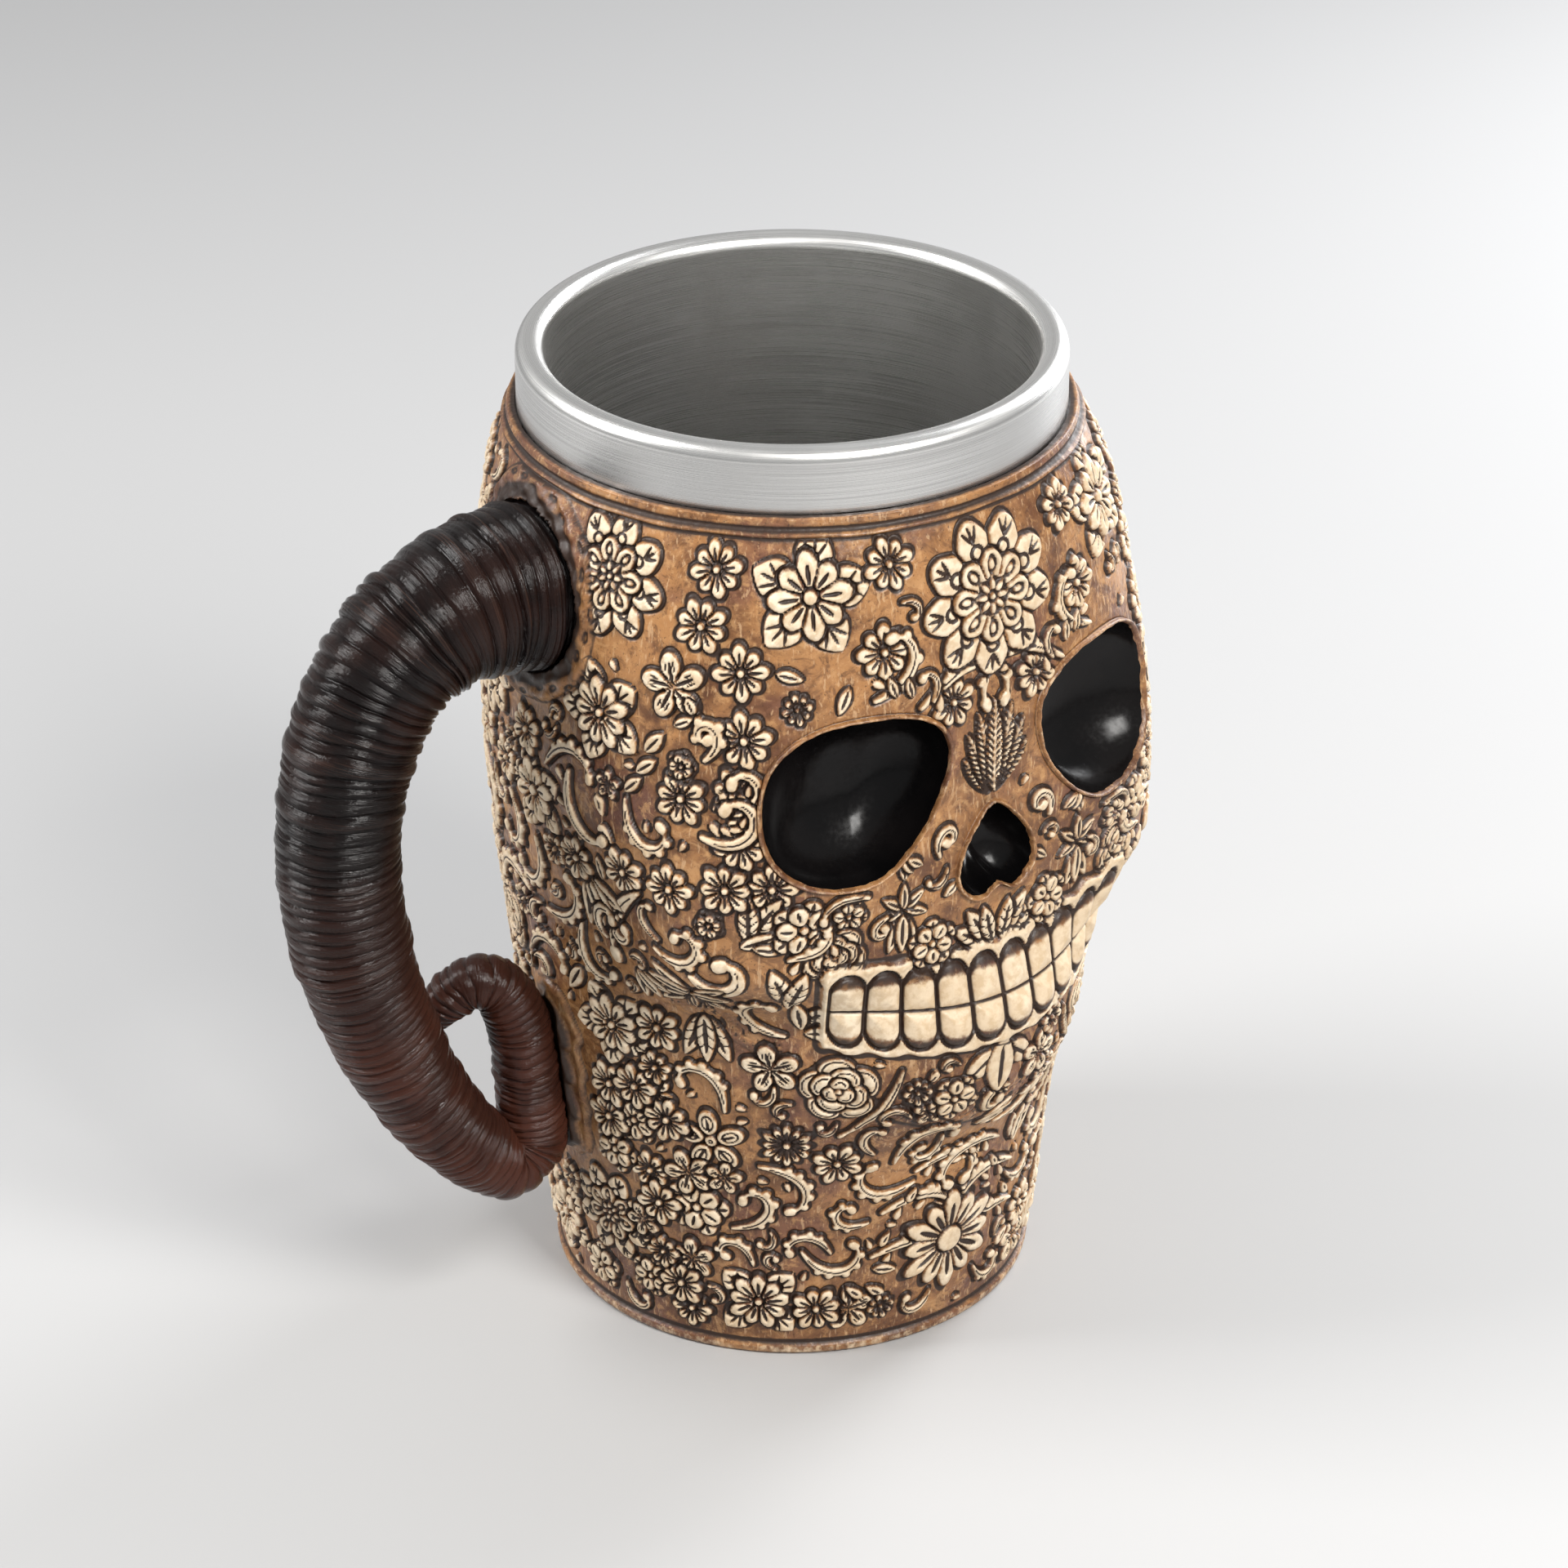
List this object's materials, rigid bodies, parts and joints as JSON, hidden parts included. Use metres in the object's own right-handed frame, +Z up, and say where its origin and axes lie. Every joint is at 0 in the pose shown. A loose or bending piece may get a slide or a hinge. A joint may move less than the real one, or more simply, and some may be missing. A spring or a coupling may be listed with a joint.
{
  "type": "beer mug",
  "caption": "Skull-shaped resin beer mug with a drawn steel cup inside, a brushed rim band and a ribbed ram's horn handle.",
  "frame": {"origin": "on the cup's axis at the flat underside that rests on the table", "axes": "+Z up along the cup's axis; the skull's face looks along -Y; the handle is on the -X side, turned 6 degrees towards the back"},
  "size_m": [0.1388, 0.1013, 0.158],
  "materials": {
    "bone_resin": "cast resin, bone relief over an amber-brown antique wash, satin",
    "horn_resin": "cast resin, near black to red brown, semi-gloss lacquer",
    "steel": "brushed round the axis, soft polished lip",
    "epoxy": "filled epoxy, dull",
    "pin_steel": "drawn wire, plain"
  },
  "bodies": {
    "root": {"skull_shell": "bone_resin", "steel_cup": "steel", "rim_bond": "epoxy", "floor_bond": "epoxy", "horn_handle": "horn_resin", "upper_dowel": "pin_steel", "lower_dowel": "pin_steel"}
  },
  "joints": []
}
